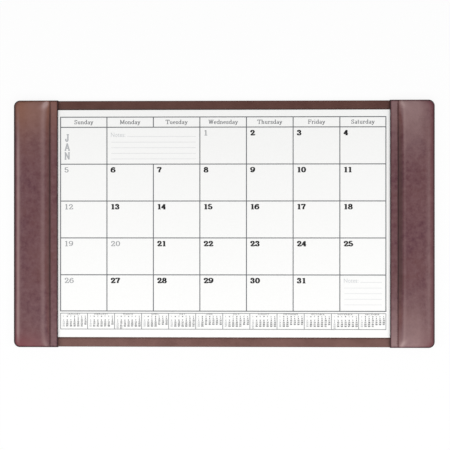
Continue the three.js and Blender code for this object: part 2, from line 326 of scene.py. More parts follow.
def thicken(skin_bm, thickness):
    """Gives a skin its thickness on the inner side, with crisp cut edges."""
    skin_bm.normal_update()
    outward = {tuple(vert.co): vert.normal.copy() for vert in skin_bm.verts}
    made = bmesh.ops.extrude_face_region(skin_bm, geom=skin_bm.faces[:])
    for vert in [g for g in made["geom"] if isinstance(g, bmesh.types.BMVert)]:
        vert.co -= outward[tuple(vert.co)] * thickness
    bmesh.ops.recalc_face_normals(skin_bm, faces=skin_bm.faces)
    for face in skin_bm.faces:
        face.smooth = True
    for edge in skin_bm.edges:
        edge.smooth = edge.calc_face_angle(0) < radians(50)


thicken(cover_bm, cover_thickness)

leatherette, leatherette_shader = start_material("brown_leatherette", 0.5, 0.25)
cover_grain = pattern(leatherette, "ShaderNodeTexVoronoi", 900, Randomness=1.0)
cover_mottle = pattern(leatherette, "ShaderNodeTexNoise", 26, Detail=5.0, Roughness=0.6)
# Painted light: the back of the cover is painted darker and the front lighter, where the front soft box
# lights it more.
cover_shaded_back = two_tone(
    leatherette, cover_mottle.outputs["Fac"], colour(79, 47, 40), colour(89, 57, 50)
)
cover_lit_front = two_tone(
    leatherette, cover_mottle.outputs["Fac"], colour(106, 74, 68), colour(118, 85, 79)
)
cover_place = add_node(leatherette, "ShaderNodeTexCoord")
cover_axes = add_node(leatherette, "ShaderNodeSeparateXYZ", {"Vector": cover_place.outputs["Object"]})
lit_towards_front = add_node(leatherette, "ShaderNodeMapRange", {"Value": cover_axes.outputs["Y"]})
lit_towards_front.inputs["From Min"].default_value = 0.25
lit_towards_front.inputs["From Max"].default_value = -0.25
cover_lit_colour = blend_colours(leatherette, lit_towards_front.outputs["Result"], cover_shaded_back, cover_lit_front)
# The painted shade darkens the cover towards a near-black brown.
cover_shade = add_node(leatherette, "ShaderNodeAttribute", attribute_name="edge_shade")
shade_share = spread(leatherette, cover_shade.outputs["Fac"], 0, 0.85)
cover_colour = blend_colours(leatherette, shade_share, cover_lit_colour, colour(40, 22, 19))
join(leatherette, cover_colour, leatherette_shader.inputs["Base Color"])
cover_gloss = spread(leatherette, cover_mottle.outputs["Fac"], 0.42, 0.58)
join(leatherette, cover_gloss, leatherette_shader.inputs["Roughness"])
raise_surface(leatherette, leatherette_shader, cover_grain.outputs["Distance"], 0.0002, 0.6)
cover = make_piece("leatherette_cover", cover_bm, leatherette)
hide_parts("base_cover")
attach(cover, "root")

# Month sheets: twelve sheets of white offset paper on a grey backing card,
# gummed along the head, each lying a hair's breadth off the one below it.
sheet_count = 12
sheet_edge_step = 30
sheet_low, sheet_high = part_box("calendar_sheets")
sheet_pitch = (sheet_high.z - sheet_low.z) / sheet_count
sheet_paper = sheet_pitch * 0.82
sheet_bm = bmesh.new()
for number in range(sheet_count):
    top = number == sheet_count - 1
    slip = 0 if top else 0.28 * mm
    shift_x = slip * noise.noise(Vector((number * 3.7, 0.2, 0.9)))
    shift_y = slip * (noise.noise(Vector((0.4, number * 2.9, 7.3))) - 0.6)
    base = sheet_low.z + number * sheet_pitch + (sheet_pitch - sheet_paper)
    made = bmesh.ops.create_grid(
        sheet_bm, x_segments=sheet_edge_step, y_segments=sheet_edge_step, size=0.5
    )
    for vert in made["verts"]:
        share_x = vert.co.x + 0.5
        share_y = vert.co.y + 0.5
        x = sheet_low.x + share_x * (sheet_high.x - sheet_low.x) + shift_x
        y = sheet_low.y + share_y * (sheet_high.y - sheet_low.y) + shift_y
        vert.co = Vector((x, y, base + sheet_paper))
    faces = {face for vert in made["verts"] for face in vert.link_faces}
    thick = bmesh.ops.extrude_face_region(sheet_bm, geom=list(faces))
    undersides = [g for g in thick["geom"] if isinstance(g, bmesh.types.BMVert)]
    bmesh.ops.translate(sheet_bm, verts=undersides, vec=(0, 0, -sheet_paper))
bmesh.ops.recalc_face_normals(sheet_bm, faces=sheet_bm.faces)

paper, paper_shader = start_material("white_offset_paper", 0.85, 0.25)
paper_tooth = pattern(paper, "ShaderNodeTexNoise", 900, Detail=5.0, Roughness=0.65)
paper_cloud = pattern(paper, "ShaderNodeTexNoise", 45, Detail=3.0)
paper_colour = two_tone(
    paper, paper_tooth.outputs["Fac"], colour(249, 249, 248), colour(254, 254, 253)
)
paper_tone = blend_colours(
    paper, spread(paper, paper_cloud.outputs["Fac"], 0, 0.4), paper_colour, colour(251, 251, 250)
)
join(paper, paper_tone, paper_shader.inputs["Base Color"])
raise_surface(paper, paper_shader, paper_tooth.outputs["Fac"], 0.00006, 0.5)
sheets = make_piece("month_sheets", sheet_bm, paper)
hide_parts("calendar_sheets")
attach(sheets, "root")

card, card_shader = start_material("grey_backing_card", 0.9, 0.15)
card_fibres = pattern(card, "ShaderNodeTexNoise", 600, Detail=8.0, Roughness=0.75)
card_flecks = pattern(card, "ShaderNodeTexVoronoi", 350, Randomness=1.0)
card_colour = two_tone(card, card_fibres.outputs["Fac"], colour(138, 132, 122), colour(166, 160, 150))
card_flecked = blend_colours(
    card, spread(card, card_flecks.outputs["Distance"], 0.25, 0), card_colour, colour(96, 90, 84)
)
join(card, card_flecked, card_shader.inputs["Base Color"])
raise_surface(card, card_shader, card_fibres.outputs["Fac"], 0.0002)
dress("calendar_backing_card", card)
for side in ("left", "right"):
    dress(f"{side}_rail_side_spacer", card)
    dress(f"{side}_rail_stiffener", card)

# Printed rules: the month grid and the year strip, in grey ink that sinks a
# little into the paper, so its edge and its density are slightly uneven.
ink_lift = 0.05 * mm


def ink(name, deep, pale):
    material, shader = start_material(name, 0.75, 0.2)
    density = pattern(material, "ShaderNodeTexNoise", 700, Detail=4.0)
    join(material, two_tone(material, density.outputs["Fac"], deep, pale), shader.inputs["Base Color"])
    return material


grey_ink = ink("grey_ink", colour(98, 100, 104), colour(110, 112, 116))
fine_ink = ink("fine_grey_ink", colour(120, 122, 125), colour(134, 136, 139))
dress("printed_month_grid", grey_ink)
dress("printed_year_strip", fine_ink)

# Lettering: slab letters and figures printed on the top sheet. Each is drawn
# as pen strokes, broad across and thin along, that run together into one shape.
# Sizes in a letter are shares of its height, from the line that it stands on.


def bow(x, y, width, height, start, end):
    """Points of a curved stroke about a centre, between two angles in degrees."""
    steps = max(3, round(abs(end - start) / 30))
    angles = [radians(start + (end - start) * k / steps) for k in range(steps + 1)]
    return [(x + width * cos(a), y + height * sin(a)) for a in angles]


def bar(x0, y0, x1, y1):
    return [(x0, y0), (x1, y1)]


def foot(x, y=0.05, half=0.14):
    """A slab across the end of a stem."""
    return bar(x - half, y, x + half, y)


def ball(x, y):
    """A round drop at the end of a curve."""
    return [(x, y)]


letters = {
    "0": (0.80, [bow(0.40, 0.50, 0.27, 0.44, 0, 360)]),
    "1": (0.70, [bar(0.38, 0.98, 0.38, 0.05), bar(0.16, 0.80, 0.38, 0.92), foot(0.38, half=0.23)]),
    "2": (0.80, [bow(0.38, 0.69, 0.24, 0.25, 165, -30) + [(0.14, 0.07)],
                 bar(0.12, 0.07, 0.66, 0.07), bar(0.66, 0.02, 0.68, 0.26),
                 ball(0.18, 0.70)]),
    "3": (0.80, [bow(0.36, 0.73, 0.21, 0.21, 155, -90), bow(0.36, 0.28, 0.25, 0.23, 90, -160),
                 ball(0.19, 0.76), ball(0.17, 0.24)]),
    "4": (0.80, [bar(0.50, 0.97, 0.50, 0.05), bar(0.50, 0.95, 0.08, 0.29),
                 bar(0.06, 0.28, 0.72, 0.28), foot(0.50, half=0.18)]),
    "5": (0.80, [bar(0.16, 0.92, 0.62, 0.92), bar(0.18, 0.92, 0.16, 0.50),
                 bow(0.37, 0.32, 0.26, 0.26, 140, -155), ball(0.17, 0.22)]),
    "6": (0.80, [bow(0.40, 0.33, 0.28, 0.26, 0, 360), bow(0.46, 0.40, 0.34, 0.52, 65, 190),
                 ball(0.60, 0.82)]),
    "7": (0.80, [bar(0.12, 0.92, 0.68, 0.92), bar(0.12, 0.97, 0.12, 0.74),
                 [(0.67, 0.90), (0.50, 0.62), (0.38, 0.34), (0.36, 0.02)]]),
    "8": (0.80, [bow(0.40, 0.73, 0.21, 0.21, 0, 360), bow(0.40, 0.28, 0.26, 0.23, 0, 360)]),
    "9": (0.80, [bow(0.40, 0.67, 0.28, 0.26, 0, 360), bow(0.34, 0.60, 0.34, 0.52, -115, 10),
                 ball(0.20, 0.18)]),
    "A": (0.92, [bar(0.14, 0.05, 0.46, 0.98), bar(0.44, 0.98, 0.78, 0.05),
                 bar(0.26, 0.34, 0.66, 0.34), foot(0.14), foot(0.76)]),
    "F": (0.84, [bar(0.22, 0.95, 0.22, 0.05), bar(0.08, 0.95, 0.74, 0.95), foot(0.24, half=0.17),
                 bar(0.74, 1.0, 0.74, 0.72), bar(0.22, 0.52, 0.54, 0.52), bar(0.54, 0.66, 0.54, 0.38)]),
    "J": (0.76, [[(0.48, 0.95), (0.48, 0.30)] + bow(0.30, 0.29, 0.18, 0.23, -10, -175),
                 foot(0.46, 0.95, 0.20), ball(0.14, 0.30)]),
    "M": (1.14, [bar(0.18, 0.95, 0.18, 0.05), bar(0.94, 0.95, 0.94, 0.05), bar(0.18, 0.95, 0.56, 0.10),
                 bar(0.56, 0.10, 0.94, 0.95), foot(0.18), foot(0.94), bar(0.04, 0.95, 0.20, 0.95),
                 bar(0.92, 0.95, 1.08, 0.95)]),
    "N": (0.96, [bar(0.18, 0.95, 0.18, 0.05), bar(0.76, 0.95, 0.76, 0.05), bar(0.18, 0.95, 0.76, 0.05),
                 foot(0.18), bar(0.04, 0.95, 0.20, 0.95), foot(0.76, 0.95)]),
    "S": (0.76, [bow(0.37, 0.72, 0.23, 0.22, 35, 270), bow(0.37, 0.28, 0.25, 0.23, 90, -150),
                 bar(0.60, 0.98, 0.60, 0.72), bar(0.13, 0.02, 0.13, 0.30)]),
    "T": (0.92, [bar(0.08, 0.95, 0.84, 0.95), bar(0.09, 1.0, 0.09, 0.72), bar(0.83, 1.0, 0.83, 0.72),
                 bar(0.46, 0.95, 0.46, 0.05), foot(0.46, half=0.20)]),
    "W": (1.24, [bar(0.16, 0.95, 0.38, 0.04), bar(0.38, 0.04, 0.62, 0.92), bar(0.62, 0.92, 0.84, 0.04),
                 bar(0.84, 0.04, 1.08, 0.95), foot(0.16, 0.95), foot(0.62, 0.95), foot(1.08, 0.95)]),
    "a": (0.68, [bow(0.34, 0.46, 0.19, 0.18, 150, 0), bar(0.53, 0.46, 0.53, 0.05),
                 bow(0.33, 0.20, 0.19, 0.16, 0, 360), bar(0.53, 0.05, 0.66, 0.05)]),
    "d": (0.74, [bow(0.34, 0.34, 0.23, 0.30, 0, 360), bar(0.57, 1.0, 0.57, 0.05),
                 bar(0.42, 0.97, 0.58, 0.97), bar(0.57, 0.05, 0.70, 0.05)]),
    "e": (0.68, [bow(0.35, 0.34, 0.24, 0.29, 5, 315), bar(0.12, 0.36, 0.59, 0.36)]),
    "h": (0.76, [bar(0.20, 1.0, 0.20, 0.05), bar(0.06, 0.97, 0.20, 0.97), foot(0.20, half=0.13),
                 bow(0.38, 0.44, 0.18, 0.20, 180, 0), bar(0.56, 0.44, 0.56, 0.05),
                 foot(0.57, half=0.13)]),
    "i": (0.42, [bar(0.20, 0.66, 0.20, 0.05), bar(0.06, 0.63, 0.20, 0.63), foot(0.20, half=0.14),
                 ball(0.20, 0.90)]),
    "n": (0.76, [bar(0.20, 0.66, 0.20, 0.05), bar(0.06, 0.63, 0.20, 0.63), foot(0.20, half=0.13),
                 bow(0.38, 0.44, 0.18, 0.20, 180, 0), bar(0.56, 0.44, 0.56, 0.05),
                 foot(0.57, half=0.13)]),
    "o": (0.70, [bow(0.35, 0.34, 0.24, 0.30, 0, 360)]),
    "r": (0.58, [bar(0.20, 0.66, 0.20, 0.05), bar(0.06, 0.63, 0.20, 0.63), foot(0.21, half=0.15),
                 bow(0.38, 0.44, 0.18, 0.20, 180, 55), ball(0.48, 0.56)]),
    "s": (0.60, [bow(0.30, 0.48, 0.18, 0.15, 30, 270), bow(0.30, 0.19, 0.19, 0.14, 90, -150),
                 bar(0.48, 0.66, 0.48, 0.48), bar(0.12, 0.02, 0.12, 0.22)]),
    "t": (0.50, [[(0.21, 0.92), (0.21, 0.22)] + bow(0.33, 0.20, 0.12, 0.16, 185, 320),
                 bar(0.05, 0.63, 0.42, 0.63)]),
    "u": (0.76, [[(0.19, 0.63), (0.19, 0.26)] + bow(0.37, 0.24, 0.18, 0.20, 185, 350),
                 bar(0.05, 0.63, 0.19, 0.63), bar(0.56, 0.66, 0.56, 0.05),
                 bar(0.42, 0.63, 0.56, 0.63), bar(0.56, 0.05, 0.70, 0.05)]),
    "y": (0.72, [bar(0.16, 0.63, 0.39, 0.04), foot(0.16, 0.63, 0.13), foot(0.60, 0.63, 0.11),
                 [(0.60, 0.63), (0.46, 0.26), (0.36, 0.0), (0.29, -0.14), (0.20, -0.21), (0.12, -0.20)],
                 ball(0.11, -0.16)]),
}


def inked_shape(character, pen_across, pen_along):
    """One letter as a flat mesh, its strokes run together."""
    corners = []
    outlines = []

    def outline(points):
        outlines.append(list(range(len(corners), len(corners) + len(points))))
        corners.extend(Vector(p) for p in points)

    for stroke in letters[character][1]:
        if len(stroke) == 1:
            outline(bow(*stroke[0], pen_across * 1.15, pen_across * 0.95, 0, 330))
            continue
        sides = []
        for k, (x, y) in enumerate(stroke):
            before = Vector(stroke[max(k - 1, 0)])
            after = Vector(stroke[min(k + 1, len(stroke) - 1)])
            if k in (0, len(stroke) - 1) and (Vector(stroke[0]) - Vector(stroke[-1])).length < 1e-6:
                before, after = Vector(stroke[-2]), Vector(stroke[1])
            run = (after - before).normalized()
            reach = sqrt((pen_across * run.y) ** 2 + (pen_along * run.x) ** 2)
            off = Vector((-run.y * pen_across**2, run.x * pen_along**2)) / reach
            sides.append((Vector((x, y)) + off, Vector((x, y)) - off))
        for (left, right), (next_left, next_right) in zip(sides, sides[1:]):
            outline([left, right, next_right, next_left])
    made = geometry.delaunay_2d_cdt(corners, [], outlines, 1, 1e-5)
    points, faces, sources = made[0], made[2], made[5]
    letter_bm = bmesh.new()
    verts = [letter_bm.verts.new((p.x, p.y, 0)) for p in points]
    for face, source in zip(faces, sources):
        if source:
            letter_bm.faces.new([verts[i] for i in face])
    loose = [v for v in verts if not v.link_faces]
    bmesh.ops.delete(letter_bm, geom=loose, context="VERTS")
    lowest = -0.3 if character == "y" else -0.01
    for line, side in ((1.01, 1), (lowest, -1)):
        parts = letter_bm.verts[:] + letter_bm.edges[:] + letter_bm.faces[:]
        bmesh.ops.bisect_plane(
            letter_bm, geom=parts, plane_co=(0, line, 0), plane_no=(0, side, 0), clear_outer=True
        )
    bmesh.ops.dissolve_limit(
        letter_bm, angle_limit=0.02, verts=letter_bm.verts, edges=letter_bm.edges
    )
    for face in letter_bm.faces:
        if face.normal.z < 0:
            face.normal_flip()
    letter_mesh = bpy.data.meshes.new(f"letter_{character}")
    letter_bm.to_mesh(letter_mesh)
    letter_bm.free()
    return letter_mesh


class Print:
    """A flat piece of ink on the top sheet, to which words are added one by one."""

    def __init__(self, pen_across=0.1, pen_along=0.06):
        self.bm = bmesh.new()
        self.pen = (pen_across, pen_along)
        self.shapes = {}

    def add_mesh(self, mesh, x, y, size_x, size_y):
        old = len(self.bm.verts)
        self.bm.from_mesh(mesh)
        self.bm.verts.ensure_lookup_table()
        place = Matrix.Translation((x, y, sheet_high.z + ink_lift))
        scale = Matrix.Diagonal((size_x, size_y, 1, 1))
        bmesh.ops.transform(self.bm, matrix=place @ scale, verts=self.bm.verts[old:])

    def word(self, text, x, y, height, width=1.0):
        """Sets a word from its left end, its letters made wider or narrower by a factor."""
        across = 0
        for character in text:
            if character not in self.shapes:
                self.shapes[character] = inked_shape(character, *self.pen)
            self.add_mesh(self.shapes[character], x + across, y, height * width, height)
            across += letters[character][0] * height * width

    def rule(self, x0, x1, y, thickness):
        made = bmesh.ops.create_grid(self.bm, x_segments=1, y_segments=1, size=0.5)
        place = Matrix.Translation(((x0 + x1) / 2, y, sheet_high.z + ink_lift))
        scale = Matrix.Diagonal((x1 - x0, thickness, 1, 1))
        bmesh.ops.transform(self.bm, matrix=place @ scale, verts=made["verts"])

    def finish(self, name, material):
        piece = make_piece(name, self.bm, material)
        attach(piece, "root")


# Weekday names: printed in grey on the top sheet, each in the middle of its
# heading box.
grid_low, grid_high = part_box("printed_month_grid")
rule_width = 1.9 * mm
grid_left = grid_low.x + rule_width / 2
grid_right = grid_high.x - rule_width / 2
grid_top = grid_high.y - rule_width / 2
grid_bottom = grid_low.y + rule_width / 2
header_height = 20.9 * mm
column_width = (grid_right - grid_left + 1.6 * mm) / 7
row_height = (grid_top - header_height - grid_bottom + 1.4 * mm) / 5
name_height = 8.9 * mm
weekday_names = ("Sunday", "Monday", "Tuesday", "Wednesday", "Thursday", "Friday", "Saturday")

name_drop = 14.6 * mm

names = Print(0.085, 0.05)
for column, name in enumerate(weekday_names):
    length = sum(letters[c][0] for c in name) * name_height
    box_left = grid_left + column * column_width
    box_right = min(box_left + column_width, grid_right)
    baseline = grid_top - name_drop
    names.word(name, (box_left + box_right - length) / 2, baseline, name_height)
names.finish("weekday_names", ink("name_ink", colour(108, 110, 113), colour(122, 124, 127)))

# Month letters: the month's short name in pale grey, set one letter under
# another at the left of the first box.
month_letter_height = 15.7 * mm
month_letter_breadth = 0.78
month_letter_middle = 13.8 * mm
month_letter_drop = 29.8 * mm
month_letter_step = 18.5 * mm

month_letters = Print(0.115, 0.075)
for line, character in enumerate("JAN"):
    letter_width = letters[character][0] * month_letter_height * month_letter_breadth
    x = grid_left + month_letter_middle - letter_width / 2
    baseline = grid_top - header_height - month_letter_drop - month_letter_step * line
    month_letters.word(character, x, baseline, month_letter_height, month_letter_breadth)
month_letters.finish("month_letters", ink("month_ink", colour(177, 179, 182), colour(189, 191, 194)))

# Dates: bold black figures on working days. Sundays and holidays are lighter
# in weight and pale grey.
date_height = 11.2 * mm
date_inset = 7.6 * mm
date_drop = 6.0 * mm
pale_dates = (1, 5, 12, 19, 20, 26)
date_breadth = 1.12
blank_days = 3

black_dates = Print(0.15, 0.09)
grey_dates = Print(0.09, 0.055)
for date in range(1, 32):
    row, column = divmod(date - 1 + blank_days, 7)
    x = grid_left + column * column_width + date_inset
    y = grid_top - header_height - row * row_height - date_drop - date_height
    figures = grey_dates if date in pale_dates else black_dates
    figures.word(str(date), x, y, date_height, date_breadth)
black_dates.finish("black_dates", ink("black_ink", colour(14, 14, 16), colour(28, 28, 30)))
grey_dates.finish("grey_dates", ink("pale_ink", colour(156, 158, 160), colour(170, 172, 174)))

# Notes boxes: a light, plain heading and five faint writing lines in each, the
# first of them beside the heading.
notes_height = 8.6 * mm
notes_step = 11.5 * mm
notes_rule = 0.7 * mm
notes_margin = (7.4 * mm, 8.2 * mm)
notes_drop = (19.7 * mm, 15.7 * mm)
heading_length = 33 * mm
heading_fill = 0.92
line_inset = 1.5 * mm
line_lift = 0.5 * mm
heading_data = bpy.data.curves.new("notes_heading", "FONT")
heading_data.body = "Notes:"
heading_object = bpy.data.objects.new("notes_heading", heading_data)
heading_mesh = bpy.data.meshes.new_from_object(heading_object)
heading_width = max(v.co.x for v in heading_mesh.vertices)
heading_rise = max(v.co.y for v in heading_mesh.vertices)

headings = Print()
note_lines = Print()
second_left = grid_left + 6 * column_width
second_top = grid_top - header_height - 4 * row_height
notes_boxes = (
    (grid_left + column_width, grid_left + 3 * column_width, grid_top - header_height - notes_drop[0]),
    (second_left, grid_right, second_top - notes_drop[1]),
)
for left, right, baseline in notes_boxes:
    start = left + notes_margin[0]
    end = right - notes_margin[1]
    size_x = heading_length * heading_fill / heading_width
    headings.add_mesh(heading_mesh, start, baseline, size_x, notes_height / heading_rise)
    first_line = baseline + line_lift
    note_lines.rule(start + heading_length + line_inset, end, first_line, notes_rule)
    for line in range(1, 5):
        note_lines.rule(start + line_inset, end, first_line - line * notes_step, notes_rule)
headings.finish("notes_headings", ink("heading_ink", colour(203, 205, 207), colour(216, 218, 220)))
note_lines.finish("note_lines", ink("line_ink", colour(212, 213, 214), colour(226, 227, 228)))
bpy.data.objects.remove(heading_object)

# Year strip: the year's twelve months in small, a name over a line of weekday
# initials and up to six weeks of dates, with the Sundays printed paler.
month_names = (
    "JANUARY", "FEBRUARY", "MARCH", "APRIL", "MAY", "JUNE",
    "JULY", "AUGUST", "SEPTEMBER", "OCTOBER", "NOVEMBER", "DECEMBER",
)
month_days = (31, 28, 31, 30, 31, 30, 31, 31, 30, 31, 30, 31)
first_weekday = 3
strip_low, strip_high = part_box("printed_year_strip")
strip_rule = 1.2 * mm
box_step = (strip_high.x - strip_low.x - strip_rule) / 12
small_name_height = 2.6 * mm
small_height = 2.9 * mm
small_breadth = 1.0
small_column = 7.5 * mm
small_row = 3.95 * mm
title_breadth = 1.35
first_column = 6.3 * mm
initials_drop = 4.3 * mm
first_week_drop = 8.4 * mm

small_dark = Print(0.155, 0.10)
small_pale = Print(0.12, 0.08)
small_titles = Print()
for month, name in enumerate(month_names):
    box_left = strip_low.x + strip_rule / 2 + month * box_step
    title_data = bpy.data.curves.new("month_title", "FONT")
    title_data.body = name
    title_data.space_character = 1.25
    title_object = bpy.data.objects.new("month_title", title_data)
    title_mesh = bpy.data.meshes.new_from_object(title_object)
    title_width = max(v.co.x for v in title_mesh.vertices)
    title_size = small_name_height / max(v.co.y for v in title_mesh.vertices)
    title_left = box_left + (box_step - title_width * title_size * title_breadth) / 2
    title_base = strip_high.y - strip_rule - small_name_height
    small_titles.add_mesh(title_mesh, title_left, title_base, title_size * title_breadth, title_size)
    bpy.data.objects.remove(title_object)
    for date in range(1, month_days[month] + 1):
        week, weekday = divmod(date + first_weekday - 1, 7)
        wide = small_height * small_breadth
        length = sum(letters[c][0] for c in str(date)) * wide
        x = box_left + first_column + weekday * small_column - length / 2
        y = title_base - first_week_drop - week * small_row
        sheet_print = small_dark if weekday else small_pale
        sheet_print.word(str(date), x, y, small_height, small_breadth)
    for weekday, name_in_full in enumerate(weekday_names):
        initial = name_in_full[0]
        x = box_left + first_column + weekday * small_column - 0.4 * small_height
        sheet_print = small_dark if weekday else small_pale
        sheet_print.word(initial, x, title_base - initials_drop, small_height * 0.8, 0.9)
    first_weekday = (first_weekday + month_days[month]) % 7
small_titles.finish("year_strip_months", ink("title_ink", colour(22, 23, 25), colour(36, 37, 39)))
small_dark.finish("year_strip_dates", ink("strip_ink", colour(70, 71, 74), colour(86, 87, 90)))
small_pale.finish("year_strip_sundays", ink("strip_pale_ink", colour(160, 162, 164), colour(176, 178, 180)))

# Rail leather: soft brown hide over foam, drawn tight along a row of stitches
# beside the flat inner band, and round the outer edge and both ends. Highlights
# are painted on its ridge, outer shoulder and inner corners, a pale sheen is
# painted towards its ends, and shade is painted in the crease, on the inner
# slope and along its edges.
rail_low, rail_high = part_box("right_rail_leather")
rail_width = rail_high.x - rail_low.x
half_depth = rail_high.y
corner_radius = 12.5 * mm
hide = 0.9 * mm
edge_roll = 1.0 * mm
band_width = 16.0 * mm
band_top = rail_high.z - 3.8 * mm
fold_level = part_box("right_rail_lining")[0].z
wall_level = rail_high.z - 6.1 * mm
under_level = rail_low.z
outer_shoulder = 15 * mm
end_shoulder = 13 * mm
band_end_roll = 2.5 * mm
roll_steps = 5
row_count = 190
rise = 3.8 * mm
crease_depth = band_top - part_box("right_rail_stiffener")[1].z - 0.12 * mm

# How each rail is stuffed: how wide its inner slope is, how sharp the ridge at
# the top of that slope, and where highlights, sheen and shade are painted on the
# hide. The painting and the colour cast differ from end to end, so those values
# are given for the front end and then for the back.
stuffing = {
    "left": {"slope": 17.0 * mm, "softness": 0.22, "ridge": 14.0 * mm, "ridge_width": 4.6 * mm,
             "glow": 0.27, "shoulder_highlight_at": 9.4 * mm, "shoulder_highlight": 0.6, "outline_shade": 2.3,
             "slope_shade": 0.7, "slope_shade_width": 4.6, "slope_shade_edge": 1.2,
             "end_sheen": (0.12, 0.22), "band_end_sheen": (0.24, 0.12), "corner_highlight": (0.15, 1.0),
             "end_cast": (-0.85, 0.9), "seed": 4.7},
    "right": {"slope": 10.5 * mm, "softness": 0.05, "ridge": 13.0 * mm, "ridge_width": 2.4 * mm,
              "glow": 0.14, "shoulder_highlight_at": 12.5 * mm, "shoulder_highlight": 0.2, "outline_shade": 1.3,
              "slope_shade": 0.62, "slope_shade_width": 9.6, "slope_shade_edge": 6.0,
              "end_sheen": (0.56, 0.64), "band_end_sheen": (0.62, 0.36), "corner_highlight": (0.55, 0.45),
              "end_cast": (-0.3, -0.2), "seed": 9.2},
}

# How far the forms, the painted highlights, sheen and shade, and the colour casts of a rail reach from its
# ends.
gather_reach = 45 * mm
crease_reach = 6 * mm
sheen_reach = 150 * mm
lit_reach = (30 * mm, 110 * mm)
slope_shade_reach = (190 * mm, 75 * mm)
brown_cast_reach = 75 * mm
wine_reach = 28 * mm


def rounded(share):
    left = 1 - min(max(share, 0), 1)
    return sqrt(1 - left * left)


def rail_outline(along):
    """How far across the rounded outline lies, at a distance from the middle."""
    past = max(abs(along) - (half_depth - corner_radius), 0)
    return rail_width - corner_radius + sqrt(max(corner_radius**2 - past**2, 0))


def rail_end(across):
    past = max(across - (rail_width - corner_radius), 0)
    return half_depth - corner_radius + sqrt(max(corner_radius**2 - past**2, 0))


def pad_surface(across, along, pad):
    """Height of the hide, its painted highlight up to 1 or painted shade down to -1, and its colour cast.
    """
    to_outer = rail_outline(along) - across
    to_end = rail_end(across) - abs(along)
    gather = rounded(to_end / gather_reach)
    slope = pad["slope"] * (0.25 + 0.75 * gather)
    t = (across - band_width) / slope
    soft = pad["softness"]
    climb = max(0.5 * (t + 1 - sqrt((t - 1) ** 2 + soft)) / (0.5 * (2 - sqrt(soft))), 0) if t > 0 else 0
    climb = min(climb, 1.04)
    end_width = band_end_roll + (end_shoulder - band_end_roll) * min(climb, 1)
    down_side = 1 - min((rail_width - across) / outer_shoulder, 1)
    down_end = 1 - min((half_depth - abs(along)) / end_width, 1)
    fall = sqrt(max(1 - down_side**2 - down_end**2, 0))
    crown = band_top - wall_level + rise * climb
    place = Vector((across * 11, along * 9, pad["seed"]))
    swell = 0.45 * mm * noise.noise(place) + 0.16 * mm * noise.noise(place * 3.3)
    loose = min(climb, 1) * fall
    off_crease = (across - band_width) / mm
    crease = crease_depth * exp(-((off_crease / 1.1) ** 2)) * rounded(to_end / crease_reach)
    height = wall_level + crown * fall + swell * loose - crease

    # Painted light: a highlight on the ridge, on the outer shoulder and at the inner corners, a pale sheen
    # towards the ends, and shade on the inner slope, in the crease and along the inner edge, the outline
    # and the ends.
    end = 1 if along > 0 else 0
    side_in = min(max(off_crease / 6, 0), 1)
    sheen_towards_end = max(1 - to_end / sheen_reach, 0) ** 1.3
    ridge = (across - band_width - pad["ridge"] * (0.3 + 0.7 * gather)) / pad["ridge_width"]
    shoulder = (to_outer - pad["shoulder_highlight_at"]) / (3.6 * mm)
    lit = min(to_end / lit_reach[end], 1)
    painted_light_and_shade = pad["glow"] * exp(-(ridge**2)) + lit * pad["shoulder_highlight"] * exp(-(shoulder**2))
    side_out = min(max(to_outer / (30 * mm) - 0.15, 0), 1)
    painted_light_and_shade += sheen_towards_end * side_out * (pad["end_sheen"][end] * side_in + pad["band_end_sheen"][end] * (1 - side_in))
    diagonal = (off_crease - to_end / mm) / 7.5
    from_corner = (hypot(off_crease, to_end / mm) - 11) / 10
    painted_light_and_shade += side_in * pad["corner_highlight"][end] * exp(-(diagonal**2) - from_corner**2)
    kept = min(0.25 + to_end / slope_shade_reach[end], 1)
    if off_crease > -0.6:
        edge = abs(max(off_crease, 0) / pad["slope_shade_width"]) ** pad["slope_shade_edge"]
        painted_light_and_shade -= pad["slope_shade"] * kept * exp(-edge)
    painted_light_and_shade -= 0.6 * exp(-(off_crease**2)) * rounded(to_end / crease_reach)
    painted_light_and_shade -= pad["outline_shade"] * exp(-((to_outer / (3.2 * mm)) ** 2))
    painted_light_and_shade -= 1.8 * exp(-((across / (1.5 * mm)) ** 2)) + 1.6 * exp(-((to_end / (2.3 * mm)) ** 2))

    # Colour cast: browner or wine-red towards each end as the rail's values give, a little browner beside
    # the crease and towards wine along the outline.
    far_side = min(max(off_crease / 60, 0), 1)
    if pad["end_cast"][end] > 0:
        cast = pad["end_cast"][end] * (0.5 + 0.5 * far_side) * exp(-((to_end / brown_cast_reach) ** 2))
    else:
        cast = pad["end_cast"][end] * sqrt(far_side) * exp(-((to_end / wine_reach) ** 2))
    cast += 0.2 * exp(-(((off_crease - 3) / 4) ** 2)) - 0.4 * exp(-((to_outer / (8 * mm)) ** 2))
    return height, max(min(painted_light_and_shade, 1), -1), max(min(cast, 1), -1)


